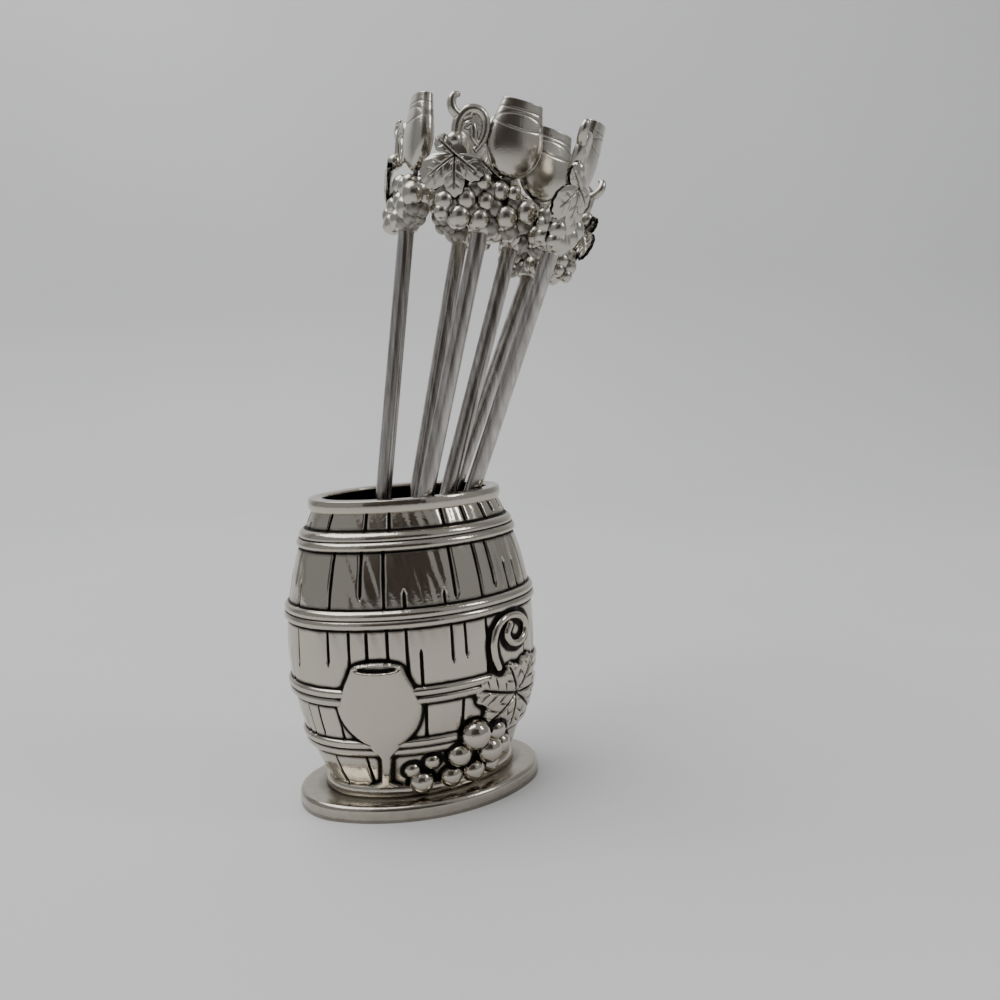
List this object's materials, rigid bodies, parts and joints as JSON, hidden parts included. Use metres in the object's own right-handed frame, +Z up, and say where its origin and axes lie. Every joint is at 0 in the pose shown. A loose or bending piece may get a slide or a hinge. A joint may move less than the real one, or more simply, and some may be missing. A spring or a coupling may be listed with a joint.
{
  "type": "toothpick holder",
  "caption": "Oval metal barrel with hoops and vine relief on a base plate, holding long loose serving picks with cast wine-glass, leaf and grape heads.",
  "frame": {"origin": "centre of the base plate's underside", "axes": "+Z up from the table, +X along the oval towards the side the picks lean to, the relief faces -Y"},
  "size_m": [0.0596, 0.0385, 0.1121],
  "materials": {
    "polished_cast": "polished, with dark patina in the grooves",
    "antique_cast": "satin antiqued silver plate",
    "shaft_steel": "polished along its length"
  },
  "bodies": {
    "holder": {"barrel_body": "polished_cast", "base_plate": "polished_cast"},
    "pick_1": {"pick_1_shaft": "shaft_steel", "pick_1_head": "antique_cast"},
    "pick_2": {"pick_2_shaft": "shaft_steel", "pick_2_head": "antique_cast"},
    "pick_3": {"pick_3_shaft": "shaft_steel", "pick_3_head": "antique_cast"},
    "pick_4": {"pick_4_shaft": "shaft_steel", "pick_4_head": "antique_cast"},
    "pick_5": {"pick_5_shaft": "shaft_steel", "pick_5_head": "antique_cast"},
    "pick_6": {"pick_6_shaft": "shaft_steel", "pick_6_head": "antique_cast"}
  },
  "joints": [
    {"name": "pick_1_lift", "type": "slide", "parent": "holder", "child": "pick_1", "axis": [0.1514, 0.0021, 0.9885], "range_m": [0, 0.06]},
    {"name": "pick_2_lift", "type": "slide", "parent": "holder", "child": "pick_2", "axis": [0.2376, 0.0207, 0.9711], "range_m": [0, 0.06]},
    {"name": "pick_3_lift", "type": "slide", "parent": "holder", "child": "pick_3", "axis": [0.2469, -0.0597, 0.9672], "range_m": [0, 0.06]},
    {"name": "pick_4_lift", "type": "slide", "parent": "holder", "child": "pick_4", "axis": [0.3132, 0.002, 0.9497], "range_m": [0, 0.06]},
    {"name": "pick_5_lift", "type": "slide", "parent": "holder", "child": "pick_5", "axis": [0.4213, 0.0712, 0.9041], "range_m": [0, 0.06]},
    {"name": "pick_6_lift", "type": "slide", "parent": "holder", "child": "pick_6", "axis": [0.3054, -0.1944, 0.9322], "range_m": [0, 0.06]}
  ]
}
